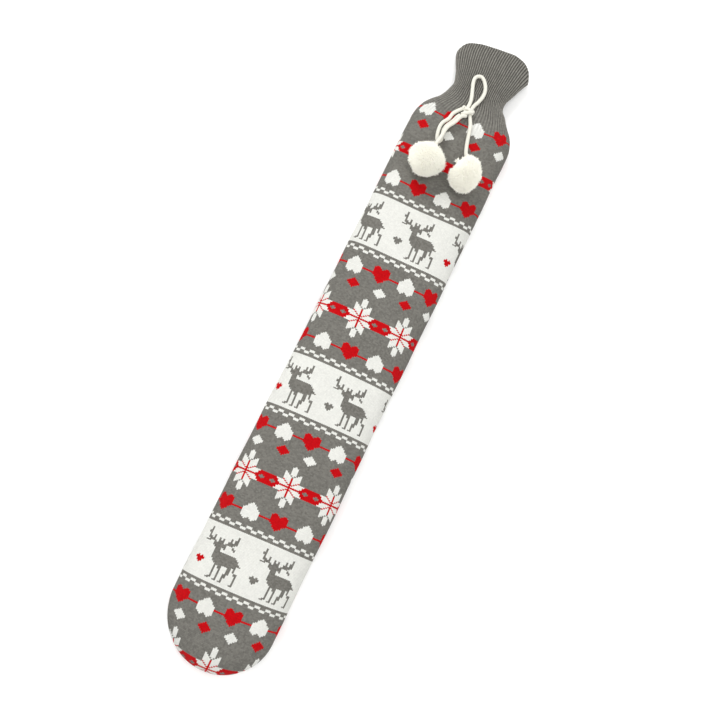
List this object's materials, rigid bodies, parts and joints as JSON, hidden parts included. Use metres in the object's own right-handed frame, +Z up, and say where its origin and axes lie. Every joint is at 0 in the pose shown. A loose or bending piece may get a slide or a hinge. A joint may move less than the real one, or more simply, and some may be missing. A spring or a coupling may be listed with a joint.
{
  "type": "hot water bottle cover",
  "caption": "Long knitted sleeve with a round closed end and a ribbed flared collar, tied at the neck with a cord bow that ends in pompoms.",
  "frame": {"origin": "under the middle of the sleeve, on the surface that the cover lies on with its patterned side up", "axes": "+Y along the sleeve towards the collar, +X to the right as seen from above, +Z up"},
  "size_m": [0.1169, 0.7424, 0.0738],
  "materials": {
    "knit": "jacquard knit in soft yarn, matt",
    "cord": "soft knitted cord, matt",
    "pompom": "cut yarn, matt"
  },
  "bodies": {
    "root": {"sleeve": "knit", "knot": "cord", "loop_upper": "cord", "loop_left": "cord", "tail_left": "cord", "tail_right": "cord", "pompom_left": "pompom", "pompom_right": "pompom"}
  },
  "joints": []
}
